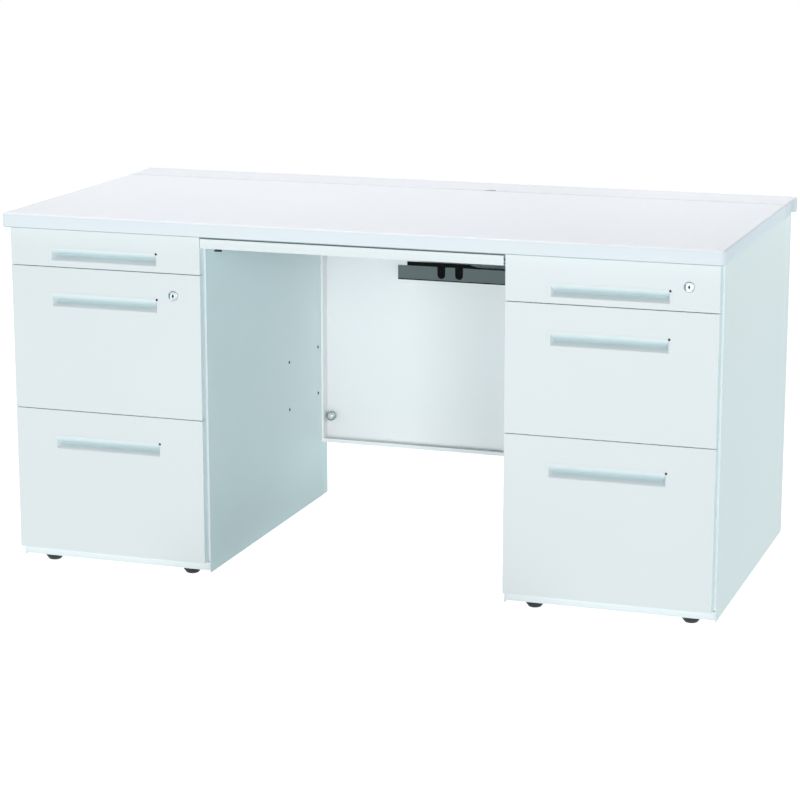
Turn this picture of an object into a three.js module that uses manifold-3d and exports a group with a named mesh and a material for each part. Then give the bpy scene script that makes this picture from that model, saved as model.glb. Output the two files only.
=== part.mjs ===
// Double-pedestal steel desk: a thick top on two cabinets of three drawers, with a rail and a
// modesty panel between them, a wiring duct under a lift-up flap along the back of the top and a
// cable tray behind the knee space. Millimetres. +X runs to the right of a person who sits at the
// desk's front (the -Y side) and faces +Y, +Z is up, and the origin is on the floor under the centre.

import * as THREE from 'three';
import { mergeVertices } from 'three/addons/utils/BufferGeometryUtils.js';
import Module from 'manifold-3d';

const wasm = await Module();
wasm.setup();

// Driving dimensions
const width = 1400;
const depth = 700;
const height = 700;
const topThickness = 28;
const topOverhang = 6;          // the top passes each cabinet by this at the ends
const cabinetWidth = 398.5;
const cabinetFront = -310;
const cabinetBack = 340;
const frontThickness = 18;      // drawer fronts, measured forward of the cabinet
const sheet = 1.0;              // steel sheet
const seam = 0.3;               // clearance between pieces that touch
const frontLeft = 1.3;          // a drawer front's edges, from the cabinet's left edge
const frontRight = 394;
const plinthBottom = 16;
const drawerBottom = 34;
const drawerTop = 670.4;
const drawerGap = 1.5;

// Values that follow from them
const topUnderside = height - topThickness;
const cabinetTop = topUnderside - seam;
const faceY = cabinetFront - frontThickness;
const kneeHalf = width / 2 - topOverhang - cabinetWidth;

// Each cabinet has its left edge, the heights where one drawer ends and the next starts, the drawer
// that has the lock, and which drawers pull right out on slides with three members.
const cabinets = [
  { name: 'left', x: -width / 2 + topOverhang, splits: [597, 316], locked: 1, fullExtension: [1, 2] },
  { name: 'right', x: kneeHalf, splits: [584, 339], locked: 0, fullExtension: [2] },
];
const rows = ['top', 'middle', 'bottom'];

// Materials
const steelWhite = { color: 0xe9eeee, roughness: 0.45, metalness: 0.0 };
const topWhite = { color: 0xf1f1f5, roughness: 0.5, metalness: 0.0 };
const zincSteel = { color: 0xb4b8ba, roughness: 0.35, metalness: 0.9 };
const chromeSteel = { color: 0xd2d5d8, roughness: 0.15, metalness: 1.0 };
const trayGrey = { color: 0x4b5557, roughness: 0.55, metalness: 0.0 };
const blackRubber = { color: 0x141414, roughness: 0.8, metalness: 0.0 };
const pullWhite = { color: 0xe4eaea, roughness: 0.5, metalness: 0.0 };

// ---- Shapes -------------------------------------------------------------------------------------

function toSolid(geometry) {
  const bare = geometry.clone();
  bare.deleteAttribute('normal');
  bare.deleteAttribute('uv');
  const merged = mergeVertices(bare, 1e-4);
  const vertProperties = new Float32Array(merged.attributes.position.array);
  const triVerts = new Uint32Array(merged.index.array);
  return new wasm.Manifold(new wasm.Mesh({ numProp: 3, vertProperties, triVerts }));
}

function toGeometry(solid) {
  const mesh = solid.getMesh();
  const geometry = new THREE.BufferGeometry();
  geometry.setAttribute('position', new THREE.BufferAttribute(mesh.vertProperties, 3));
  geometry.setIndex(new THREE.BufferAttribute(mesh.triVerts, 1));
  const flat = geometry.toNonIndexed();
  flat.computeVertexNormals();
  return flat;
}

const join = (...solids) => solids.reduce((whole, next) => whole.add(next));
const cut = (whole, ...tools) => tools.reduce((rest, tool) => rest.subtract(tool), whole);

function block(x0, x1, y0, y1, z0, z1) {
  const box = new THREE.BoxGeometry(x1 - x0, y1 - y0, z1 - z0);
  box.translate((x0 + x1) / 2, (y0 + y1) / 2, (z0 + z1) / 2);
  return toSolid(box);
}

// A round bar along an axis, from one end to the other; centre gives the two other coordinates.
function bar(axis, radius, from, to, centre, sides = 24) {
  const cylinder = new THREE.CylinderGeometry(radius, radius, to - from, sides);
  const middle = (from + to) / 2;
  if (axis === 'x') {
    cylinder.rotateZ(Math.PI / 2);
    cylinder.translate(middle, centre[0], centre[1]);
  } else if (axis === 'y') {
    cylinder.translate(centre[0], middle, centre[1]);
  } else {
    cylinder.rotateX(Math.PI / 2);
    cylinder.translate(centre[0], centre[1], middle);
  }
  return toSolid(cylinder);
}

// A straight section along X, from points of its outline in the YZ plane.
function sectionAlongX(outline, x0, x1) {
  const shape = new THREE.Shape(outline.map(([y, z]) => new THREE.Vector2(y, z)));
  const geometry = new THREE.ExtrudeGeometry(shape, { depth: x1 - x0, bevelEnabled: false });
  // The outline's axes become Y and Z, and the extrusion becomes X.
  geometry.applyMatrix4(new THREE.Matrix4().set(0, 0, 1, x0, 1, 0, 0, 0, 0, 1, 0, 0, 0, 0, 0, 1));
  return toSolid(geometry);
}

function mirrorX(solid, about = 0) {
  return solid.mirror([1, 0, 0]).translate([2 * about, 0, 0]);
}

const desk = new THREE.Group();

function addPiece(parent, name, solid, look) {
  const material = new THREE.MeshStandardMaterial(look);
  const mesh = new THREE.Mesh(toGeometry(solid), material);
  mesh.name = name;
  parent.add(mesh);
}

// ---- The top, its wiring duct and the flap ------------------------------------------------------

const boardBack = 236;
const ductFront = boardBack + 0.9;
const ductBack = depth / 2;
const flapThickness = 1.6;
const lipThickness = 1.4;
const frontLipBottom = 689;
const rearLipBottom = 688.5;
const troughBack = ductBack - 0.6;
const troughWallTop = 686;
const troughSlot = { left: 40, right: 160, front: 265, back: 320 };
// The flap's cut-out, where cables come up on to the top; the front lip is carried round it.
const cableMouth = { x: 98, radius: 13, depth: 14 };
// The flap's pins turn in a knuckle at the back of each end cap, and the flap's corners are cut away
// round it.
const hinge = { y: 344, z: 693.5, barrelRadius: 3.5, pinRadius: 2, pinLength: 5, webHalf: 1.2 };
const knuckleRadius = 10.3;
const capInner = 690;
const capOuter = width / 2;
// Along the cap's outer face, from the front: a groove, then a bulge at the corner.
const capGroove = { front: 297, back: 325, x: 692.5 };
const capBulge = { back: 349.5, x: 703, slope: 3 };

function tabletop() {
  const cornerRadius = 8;
  const edgeRound = 4;
  const plan = new THREE.Shape();
  const right = width / 2 - edgeRound;
  const front = -depth / 2 + edgeRound;
  const back = boardBack - edgeRound;
  const inner = cornerRadius - edgeRound;
  plan.moveTo(-right + inner, front);
  plan.lineTo(right - inner, front);
  plan.absarc(right - inner, front + inner, inner, -Math.PI / 2, 0);
  plan.lineTo(right, back);
  plan.lineTo(-right, back);
  plan.lineTo(-right, front + inner);
  plan.absarc(-right + inner, front + inner, inner, Math.PI, 1.5 * Math.PI);
  const board = new THREE.ExtrudeGeometry(plan, {
    depth: topThickness - 2 * edgeRound,
    bevelThickness: edgeRound,
    bevelSize: edgeRound,
    bevelSegments: 3,
    curveSegments: 3,
  });
  board.translate(0, 0, topUnderside + edgeRound);
  return toSolid(board);
}

function ductTrough() {
  const end = capInner - seam;
  const floorTop = topUnderside + seam + sheet;
  const floor = block(-end, end, ductFront, troughBack, topUnderside + seam, floorTop);
  const frontWall = block(-end, end, ductFront, ductFront + sheet, topUnderside + seam, troughWallTop);
  const rearWall = block(-end, end, troughBack - sheet, troughBack, topUnderside + seam, troughWallTop);
  const cableSlot = block(troughSlot.left, troughSlot.right, troughSlot.front, troughSlot.back,
    topUnderside - 1, floorTop + 1);
  return cut(join(floor, frontWall, rearWall), cableSlot);
}

// A half-round plug in the shape of the flap's cut-out, from a plane at its front.
function mouthShape(radius, front, bottom, top) {
  const { x } = cableMouth;
  const centre = ductFront + cableMouth.depth - cableMouth.radius;
  const ahead = block(x - radius, x + radius, centre - radius - 1, front, bottom - 1, top + 1);
  return cut(bar('z', radius, bottom, top, [x, centre], 24), ahead);
}

function ductCover() {
  const end = width / 2 - 0.5;
  const lipEnd = capInner - 1;
  const pinEnd = capInner + hinge.pinLength;
  const underPlate = height - flapThickness;
  const insidePlate = height - 1;
  const plate = block(-end, end, ductFront, ductBack, underPlate, height);
  const frontLip = block(-lipEnd, lipEnd, ductFront, ductFront + lipThickness,
    frontLipBottom, insidePlate);
  const rearLip = block(-lipEnd, lipEnd, ductBack - lipThickness, ductBack, rearLipBottom, insidePlate);
  const hingeWeb = block(-lipEnd, lipEnd, hinge.y - hinge.webHalf, hinge.y + hinge.webHalf,
    hinge.z, insidePlate);
  const barrel = bar('x', hinge.barrelRadius, -lipEnd, lipEnd, [hinge.y, hinge.z], 16);
  const pins = bar('x', hinge.pinRadius, -pinEnd, pinEnd, [hinge.y, hinge.z], 12);
  const mouthWall = mouthShape(cableMouth.radius + lipThickness, ductFront, frontLipBottom, insidePlate);
  const mouth = mouthShape(cableMouth.radius, ductFront - 1, frontLipBottom - 1, height + 1);
  const corner = block(capInner - 0.4, end + 1, hinge.y - knuckleRadius - 0.5, ductBack + 1,
    underPlate - 1, height + 1);
  return cut(join(plate, frontLip, rearLip, hingeWeb, barrel, pins, mouthWall),
    corner, mirrorX(corner), mouth);
}

// The right-hand cap: its outer face has a dark cable groove in front of a bulge at the corner.
function ductEndCap() {
  const flatTop = height - flapThickness - seam;
  const { front, back, x: grooveX } = capGroove;
  const bulge = capBulge;
  const outline = [
    [capInner, ductFront], [capOuter, ductFront], [capOuter, front], [grooveX, front],
    [grooveX, back], [capOuter, back], [bulge.x, back + bulge.slope],
    [bulge.x, bulge.back - bulge.slope], [capOuter, bulge.back], [capInner, bulge.back],
  ];
  const plan = new THREE.Shape(outline.map(([x, y]) => new THREE.Vector2(x, y)));
  const whole = new THREE.ExtrudeGeometry(plan, { depth: height - topUnderside, bevelEnabled: false });
  whole.translate(0, 0, topUnderside);
  const aboveFlatTop = block(capInner - 1, bulge.x + 1, ductFront - 1, bulge.back + 1,
    flatTop, height + 1);
  const knuckle = bar('x', knuckleRadius, capInner - 1, bulge.x + 1, [hinge.y, hinge.z], 40);
  const pinHole = bar('x', hinge.pinRadius + 0.4, capInner - 1, capInner + hinge.pinLength + 1.5,
    [hinge.y, hinge.z], 12);
  return cut(toSolid(whole), cut(aboveFlatTop, knuckle), pinHole);
}

addPiece(desk, 'tabletop', tabletop(), topWhite);
addPiece(desk, 'duct_trough', ductTrough(), steelWhite);
addPiece(desk, 'duct_cover', ductCover(), topWhite);
addPiece(desk, 'duct_end_cap_right', ductEndCap(), topWhite);
addPiece(desk, 'duct_end_cap_left', mirrorX(ductEndCap()), topWhite);

// ---- Between the cabinets -----------------------------------------------------------------------

const bridgeHalf = kneeHalf - seam;
// From the ends of the beam's face to the drawer fronts beside it.
const beamGap = { left: 1.2, right: 3.6 };
const beam = { top: 666.5, bottom: 648.5, lipDepth: 12, rear: -268, lowerFront: -290 };
const panelFront = 337;
const panelBottom = 131.5;
const panelFlangeFront = 303;
const panelSlot = { front: 318, back: 322, bottom: 156, top: 171 };
const bolt = { x: 281.5, z: 184, headRadius: 10, headFront: 321, headBack: 329, collarRadius: 6 };
const tray = { left: -91, right: 289, front: 217, bottom: 512, top: 541, uprightTop: 523 };
const trayNotches = { centres: [1, 39], radius: 8.5, depth: 16 };

// The rail under the front edge of the top. Its face lies in the plane of the drawer fronts and fills
// the space between them, and its flanges pass between the cabinets.
function kneeBeam() {
  const faceLeft = frontRight - cabinetWidth - kneeHalf + beamGap.left;
  const faceRight = kneeHalf + frontLeft - beamGap.right;
  const { top, bottom, rear } = beam;
  const face = block(faceLeft, faceRight, faceY, faceY + sheet, bottom, top);
  const lip = block(faceLeft, faceRight, faceY, faceY + beam.lipDepth, bottom, bottom + sheet);
  const upper = block(-bridgeHalf, bridgeHalf, faceY, rear, top - sheet, top);
  const back = block(-bridgeHalf, bridgeHalf, rear - sheet, rear, bottom, top);
  const lower = block(-bridgeHalf, bridgeHalf, beam.lowerFront, rear, bottom, bottom + sheet);
  return join(face, lip, upper, back, lower);
}

function modestyPanel() {
  const front = panelFlangeFront;
  const webBack = panelFront + sheet;
  const lipWidth = 5;
  const footLipHeight = 8;
  const web = block(-bridgeHalf, bridgeHalf, panelFront, webBack, panelBottom, cabinetTop);
  const foot = block(-bridgeHalf, bridgeHalf, front, webBack, panelBottom, panelBottom + sheet);
  const footLip = block(-bridgeHalf, bridgeHalf, front, front + sheet,
    panelBottom, panelBottom + footLipHeight);
  const flange = block(-bridgeHalf, -bridgeHalf + sheet, front, webBack, panelBottom, cabinetTop);
  const flangeLip = block(-bridgeHalf, -bridgeHalf + lipWidth, front, front + sheet,
    panelBottom, cabinetTop);
  const slot = block(-bridgeHalf - 1, -bridgeHalf + 2, panelSlot.front, panelSlot.back,
    panelSlot.bottom, panelSlot.top);
  const side = cut(join(flange, flangeLip), slot);
  return join(web, foot, footLip, side, mirrorX(side));
}

// A round-headed screw through the web of the panel, standing off it on a thick collar.
function modestyBolt() {
  const centre = [-bolt.x, bolt.z];
  const head = bar('y', bolt.headRadius, bolt.headFront, bolt.headBack, centre, 20);
  const collar = bar('y', bolt.collarRadius, bolt.headBack - 1, panelFront - seam, centre, 12);
  const recess = bar('y', 4, bolt.headFront - 1, bolt.headFront + 3, centre, 6);
  return cut(join(head, collar), recess);
}

function cableTray() {
  const { left, right, front, bottom, top } = tray;
  const back = panelFront - seam;
  const floor = block(left, right, front, back, bottom, bottom + sheet);
  const lip = block(left, right, front, front + sheet, bottom, top);
  const upright = block(left, right, back - sheet, back, bottom, tray.uprightTop);
  const { radius } = trayNotches;
  const low = top - trayNotches.depth;
  const notches = trayNotches.centres.map((x) => join(
    bar('y', radius, front - 1, front + 3, [x, low], 20),
    block(x - radius, x + radius, front - 1, front + 3, low, top + 1),
  ));
  return cut(join(floor, lip, upright), ...notches);
}

addPiece(desk, 'knee_beam', kneeBeam(), steelWhite);
addPiece(desk, 'modesty_panel', modestyPanel(), steelWhite);
addPiece(desk, 'modesty_bolt_left', modestyBolt(), zincSteel);
addPiece(desk, 'modesty_bolt_right', mirrorX(modestyBolt()), zincSteel);
addPiece(desk, 'cable_tray', cableTray(), trayGrey);

// ---- Cabinet carcass, in a group whose X starts at the cabinet's left edge ----------------------

const flange = 14;              // the side panels' front and rear flanges
const footInset = 51;
const footRows = { front: -280, back: 310 };
const inside = { left: sheet + seam, right: cabinetWidth - sheet - seam };
const shelfHoles = { ys: [118, 286], zs: [342, 242], radius: 2.4 };
const backPanelBottom = 36;
const studHoleRadius = 4.6;
const topFrameRails = { front: -262, back: 322, side: 30, rear: 40 };
// Three nested sections of a slide: the fixed channel, the middle member and the drawer's own member.
const slide = {
  front: -298, back: 240, post: 9.6, channelHalf: 18, channelReach: 22,
  middleHalf: 16, middleLeft: 14.6, middleReach: 25,
  lastHalf: 14, lastLeft: 18.5,
};
const slidePosts = { ys: [-292, 205], width: 20, margin: 4 };
const boxLeft = 27.5;
const boxRight = cabinetWidth - boxLeft;
const boxBack = 250;

// The side on the cabinet's left: a sheet with a flange turned in at its front and at its back.
function sidePanel(isKneeSide) {
  const bottom = plinthBottom - 4.5;
  const flangeBottom = drawerBottom + seam;
  const web = block(0, sheet, cabinetFront, cabinetBack, bottom, cabinetTop);
  const frontFlange = block(0, flange, cabinetFront, cabinetFront + sheet, flangeBottom, cabinetTop);
  const frontLip = block(flange - sheet, flange, cabinetFront, cabinetFront + 8,
    flangeBottom, cabinetTop);
  const rearFlange = block(0, flange, cabinetBack - sheet, cabinetBack, bottom, cabinetTop);
  const panel = join(web, frontFlange, frontLip, rearFlange);
  if (!isKneeSide) return panel;
  const holes = shelfHoles.ys.flatMap((y) => shelfHoles.zs.map(
    (z) => bar('x', shelfHoles.radius, -1, sheet + 1, [y, z], 12)));
  return cut(panel, ...holes);
}

function backPanel() {
  const front = cabinetBack - sheet - seam - sheet;
  const top = cabinetTop - seam;
  const bottom = backPanelBottom;
  const returnDepth = 10;
  const web = block(inside.left, inside.right, front, front + sheet, bottom, top);
  const upper = block(inside.left, inside.right, front - returnDepth, front + sheet, top - sheet, top);
  const lower = block(inside.left, inside.right, front - returnDepth, front + sheet,
    bottom, bottom + sheet);
  return join(web, upper, lower);
}

// The floor of the cabinet with a rim turned down all round: its front is the plinth. The glides'
// studs pass through four holes.
function baseFrame() {
  const back = cabinetBack - sheet - 2 * seam - sheet;
  const top = drawerBottom - 1;
  const tub = block(inside.left, inside.right, cabinetFront, back, plinthBottom, top);
  const hollow = block(inside.left + sheet, inside.right - sheet, cabinetFront + sheet, back - sheet,
    plinthBottom - 1, top - sheet);
  const studHoles = [];
  for (const x of [footInset, cabinetWidth - footInset]) {
    for (const y of Object.values(footRows)) {
      studHoles.push(bar('z', studHoleRadius, plinthBottom, top + 1, [x, y], 16));
    }
  }
  return cut(tub, hollow, ...studHoles);
}

// A flat frame under the top.
function topFrame() {
  const top = cabinetTop - 2 * seam;
  const bottom = top - sheet;
  const left = flange + 2 * seam;
  const right = cabinetWidth - left;
  const face = cabinetFront + sheet + seam;
  const sideFront = cabinetFront + 9;
  const rails = topFrameRails;
  const front = block(left, right, face, rails.front, bottom, top);
  const middle = block(inside.left, inside.right, sideFront, rails.front, bottom, top);
  const leftRail = block(inside.left, inside.left + rails.side, sideFront, rails.back, bottom, top);
  const rightRail = block(inside.right - rails.side, inside.right, sideFront, rails.back, bottom, top);
  const rear = block(inside.left, inside.right, rails.back - rails.rear, rails.back, bottom, top);
  return join(front, middle, leftRail, rightRail, rear);
}

// Two posts with the fixed channel of every drawer, on the cabinet's left side.
function slideRack(heights) {
  const reach = slide.channelHalf + slidePosts.margin;
  const postTop = Math.max(...heights) + reach;
  const postBottom = Math.min(...heights) - reach;
  const posts = slidePosts.ys.map((y) => {
    const back = y + slidePosts.width;
    return join(
      block(slide.post, slide.post + sheet, y, back, postBottom, postTop),
      block(inside.left, slide.post + sheet, y, y + sheet, postBottom, postTop),
      block(inside.left, slide.post + sheet, back - sheet, back, postBottom, postTop),
    );
  });
  const channels = heights.map((z) => {
    const webLeft = slide.post + sheet - 0.4;
    const top = z + slide.channelHalf;
    const bottom = z - slide.channelHalf;
    return join(
      block(webLeft, webLeft + sheet, slide.front, slide.back, bottom, top),
      block(webLeft, slide.channelReach, slide.front, slide.back, top - sheet, top),
      block(webLeft, slide.channelReach, slide.front, slide.back, bottom, bottom + sheet),
    );
  });
  return join(...posts, ...channels);
}

// A levelling glide: a tapered pad, a hexagon nut and a threaded stud, all one turning piece.
function foot(x, y) {
  const profile = [
    [0, 0], [10.5, 0], [12.5, 0.8], [17.5, 7.5], [17.5, 12.5], [16.3, 14], [7.5, 14.4], [0, 14.4],
  ].map(([r, z]) => new THREE.Vector2(r, z));
  const pad = new THREE.LatheGeometry(profile, 20);
  pad.rotateX(Math.PI / 2);
  const nut = bar('z', 7.5, 14, 19.5, [0, 0], 6);
  const stud = bar('z', 4, 19, 42, [0, 0], 12);
  return join(toSolid(pad), nut, stud).translate([x, y, 0]);
}

// ---- Drawers ------------------------------------------------------------------------------------

const frontFlange = 10;         // turned in round the back of a drawer front
const shallowFront = 100;       // a drawer front lower than this has its pull near the bottom
const boxRaise = 11;            // from the bottom of the front to the bottom of its box
const pullCentre = 195.3;
const lockX = cabinetWidth - 60;
const lockBelowTop = 42;

// The heights of one drawer's pieces, from the top and bottom edges of its front.
function drawerSizes(top, bottom) {
  const shallow = top - bottom < shallowFront;
  const boxShare = 0.74;
  const tall = shallow ? top - bottom - 26 : (top - bottom) * boxShare;
  const boxBottom = bottom + boxRaise;
  const pullHeight = shallow ? 22 : 24;
  return {
    top,
    bottom,
    boxBottom,
    boxTop: boxBottom + tall,
    slideHeight: boxBottom + tall / 2,
    pullBottom: shallow ? bottom + 12 : top - 52 - pullHeight,
    pullHeight,
    lockHeight: top - lockBelowTop,
  };
}

const pullHalf = 110;
const pullWall = 1.6;
// The lock's rings and faces, with its cam behind the drawer front.
const lock = {
  ringRadius: 10, ringFront: faceY - 2, sleeveRadius: 8, sleeveBack: -300,
  boreRadius: 6.2, plugRadius: 5.8, plugFront: faceY - 1.4, camFront: -299.6, camBack: -297.2,
};

function drawerFront(sizes, hasLock) {
  const back = cabinetFront - seam;
  const outer = block(frontLeft, frontRight, faceY, back, sizes.bottom, sizes.top);
  const hollow = block(frontLeft + sheet, frontRight - sheet, faceY + sheet, back - sheet,
    sizes.bottom + sheet, sizes.top - sheet);
  const rearWindow = block(frontLeft + frontFlange, frontRight - frontFlange, back - 2 * sheet, back + 1,
    sizes.bottom + frontFlange, sizes.top - frontFlange);
  const room = pullWall + seam;
  const pullHole = block(pullCentre - pullHalf - room, pullCentre + pullHalf + room,
    faceY - 1, faceY + 2, sizes.pullBottom - room, sizes.pullBottom + sizes.pullHeight + room);
  const tools = [hollow, rearWindow, pullHole];
  if (hasLock) {
    tools.push(bar('y', lock.sleeveRadius + seam, faceY - 1, faceY + 3, [lockX, sizes.lockHeight]));
  }
  return cut(outer, ...tools);
}

// The recessed pull: a moulded block behind a thin rim. Its hollow is shallow at the top, slopes
// back to a deep finger hold at the bottom, and has splayed ends.
function drawerPull(sizes) {
  const low = sizes.pullBottom;
  const high = low + sizes.pullHeight;
  const holdDepth = 14.6;
  const rimWidth = 4;
  const body = block(pullCentre - pullHalf - pullWall, pullCentre + pullHalf + pullWall,
    faceY - 1, faceY + 16.4, low - pullWall, high + pullWall);
  const rim = block(pullCentre - pullHalf - rimWidth, pullCentre + pullHalf + rimWidth,
    faceY - 1.1, faceY - seam, low - rimWidth, high + rimWidth);
  const scoop = sectionAlongX([
    [faceY - 2, high], [faceY - 2, low], [faceY + 3, low - 0.5], [faceY + holdDepth, low + 0.5],
    [faceY + holdDepth, low + 7], [faceY + 3.5, high],
  ], pullCentre - pullHalf, pullCentre + pullHalf);
  const cheek = new THREE.Shape([
    new THREE.Vector2(0, -3), new THREE.Vector2(9, holdDepth + 1), new THREE.Vector2(-4, holdDepth + 1),
    new THREE.Vector2(-4, -3),
  ]);
  const wedge = new THREE.ExtrudeGeometry(cheek, { depth: sizes.pullHeight + 4, bevelEnabled: false });
  wedge.translate(pullCentre - pullHalf, faceY, low - 2);
  const leftWedge = toSolid(wedge);
  const hollow = cut(scoop, leftWedge, mirrorX(leftWedge, pullCentre));
  return cut(join(body, rim), hollow);
}

// A tray with its running members along both sides: wide ones that ride in the cabinet's channels,
// or slimmer ones that ride inside the middle members of a full-extension slide.
function drawerBox(sizes, isFullExtension, hasLock) {
  const front = cabinetFront;
  const outer = block(boxLeft, boxRight, front, boxBack, sizes.boxBottom, sizes.boxTop);
  const hollow = block(boxLeft + sheet, boxRight - sheet, front + sheet, boxBack - sheet,
    sizes.boxBottom + sheet, sizes.boxTop + 1);
  const runnerLeft = isFullExtension ? slide.lastLeft : slide.middleLeft;
  const half = isFullExtension ? slide.lastHalf : slide.middleHalf;
  const z = sizes.slideHeight;
  const reach = boxLeft + sheet / 2;
  const runner = join(
    block(runnerLeft, runnerLeft + sheet, slide.front, slide.back, z - half, z + half),
    block(runnerLeft, reach, slide.front, slide.back, z + half - sheet, z + half),
    block(runnerLeft, reach, slide.front, slide.back, z - half, z - half + sheet),
  );
  const box = join(cut(outer, hollow), runner, mirrorX(runner, cabinetWidth / 2));
  if (!hasLock || sizes.lockHeight > sizes.boxTop + 10) return box;
  return cut(box, bar('y', lock.sleeveRadius + 0.4, front - 1, front + 3, [lockX, sizes.lockHeight]));
}

// The middle member of a full-extension slide, on the drawer's left.
function middleMember(sizes) {
  const z = sizes.slideHeight;
  const { middleLeft: left, middleReach: reach, middleHalf: half, front, back } = slide;
  return join(
    block(left, left + sheet, front, back, z - half, z + half),
    block(left, reach, front, back, z + half - sheet, z + half),
    block(left, reach, front, back, z - half, z - half + sheet),
  );
}

function lockBarrel(sizes) {
  const centre = [lockX, sizes.lockHeight];
  const ring = bar('y', lock.ringRadius, lock.ringFront, faceY - seam, centre, 28);
  const sleeve = bar('y', lock.sleeveRadius, faceY - 1, lock.sleeveBack, centre, 24);
  const bore = bar('y', lock.boreRadius, lock.ringFront - 1, lock.sleeveBack + 1, centre, 24);
  return cut(join(ring, sleeve), bore);
}

// The turning plug: a keyway in its face and a cam behind the barrel.
function lockPlug(sizes) {
  const [x, z] = [lockX, sizes.lockHeight];
  const plug = bar('y', lock.plugRadius, lock.plugFront, lock.camBack - 0.8, [x, z], 24);
  const cam = block(x - 25, x + 5, lock.camFront, lock.camBack, z - 5, z + 5);
  const keyway = block(x - 0.9, x + 0.9, lock.plugFront - 1, faceY + 9, z - 3.6, z + 3.6);
  return cut(join(plug, cam), keyway);
}

// ---- Assembly -----------------------------------------------------------------------------------

function buildCabinet(cabinet) {
  const group = new THREE.Group();
  group.position.x = cabinet.x;
  const edges = [drawerTop + drawerGap / 2, ...cabinet.splits, drawerBottom - drawerGap / 2];
  const sizes = rows.map((row, i) => drawerSizes(edges[i] - drawerGap / 2, edges[i + 1] + drawerGap / 2));
  const kneeIsLeft = cabinet.name === 'right';
  const [leftHand, rightHand] = kneeIsLeft ? ['inner', 'outer'] : ['outer', 'inner'];
  const mirror = (solid) => mirrorX(solid, cabinetWidth / 2);
  const add = (name, solid, look) => addPiece(group, `${cabinet.name}_${name}`, solid, look);

  add(`${leftHand}_side`, sidePanel(kneeIsLeft), steelWhite);
  add(`${rightHand}_side`, mirror(sidePanel(!kneeIsLeft)), steelWhite);
  add('back_panel', backPanel(), steelWhite);
  add('base_frame', baseFrame(), steelWhite);
  add('top_frame', topFrame(), steelWhite);

  const rack = slideRack(sizes.map((drawer) => drawer.slideHeight));
  add(`${leftHand}_slide_rack`, rack, zincSteel);
  add(`${rightHand}_slide_rack`, mirror(rack), zincSteel);

  for (const [rowName, y] of Object.entries(footRows)) {
    add(`${rowName}_${leftHand}_foot`, foot(footInset, y), blackRubber);
    add(`${rowName}_${rightHand}_foot`, foot(cabinetWidth - footInset, y), blackRubber);
  }

  rows.forEach((row, i) => {
    const hasLock = cabinet.locked === i;
    const isFull = cabinet.fullExtension.includes(i);
    add(`${row}_drawer_front`, drawerFront(sizes[i], hasLock), steelWhite);
    add(`${row}_drawer_pull`, drawerPull(sizes[i]), pullWhite);
    add(`${row}_drawer_box`, drawerBox(sizes[i], isFull, hasLock), steelWhite);
    if (isFull) {
      add(`${row}_${leftHand}_slide`, middleMember(sizes[i]), zincSteel);
      add(`${row}_${rightHand}_slide`, mirror(middleMember(sizes[i])), zincSteel);
    }
    if (hasLock) {
      add('lock_barrel', lockBarrel(sizes[i]), chromeSteel);
      add('lock_plug', lockPlug(sizes[i]), chromeSteel);
    }
  });
  return group;
}

for (const cabinet of cabinets) desk.add(buildCabinet(cabinet));

export default desk;
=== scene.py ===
"""The looks of a steel teacher's desk: materials, softened edges and small fittings on the CAD frame.

Everything is in metres in the row frame: +X is to the right in a view of the desk's front (the -Y
side), +Z is up, and the floor is at Z 0. MM turns millimetres into metres.
"""

import math

import bmesh
import bpy
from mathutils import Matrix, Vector


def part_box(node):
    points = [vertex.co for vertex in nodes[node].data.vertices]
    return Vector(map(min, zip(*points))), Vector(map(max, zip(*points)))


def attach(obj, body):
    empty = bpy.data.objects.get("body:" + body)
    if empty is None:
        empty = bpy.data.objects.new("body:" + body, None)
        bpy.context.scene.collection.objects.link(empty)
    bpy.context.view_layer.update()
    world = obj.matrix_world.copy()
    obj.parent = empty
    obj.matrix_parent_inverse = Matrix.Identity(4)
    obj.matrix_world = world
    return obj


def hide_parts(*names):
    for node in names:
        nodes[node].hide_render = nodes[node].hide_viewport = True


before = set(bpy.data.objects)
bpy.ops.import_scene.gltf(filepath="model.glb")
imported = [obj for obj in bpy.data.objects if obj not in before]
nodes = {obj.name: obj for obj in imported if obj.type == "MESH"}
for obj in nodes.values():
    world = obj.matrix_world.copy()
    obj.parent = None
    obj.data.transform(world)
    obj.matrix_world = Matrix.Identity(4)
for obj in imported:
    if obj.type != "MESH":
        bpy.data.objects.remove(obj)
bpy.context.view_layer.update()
MM = 0.001
SIDES = ("left", "right")
ROWS = ("top", "middle", "bottom")
DEEP_ROWS = ("middle", "bottom")
# The drawer that each cabinet's lock is in.
LOCKED = {"left": "left_middle_drawer", "right": "right_top_drawer"}


# ---- Materials ----------------------------------------------------------------------------------

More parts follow.
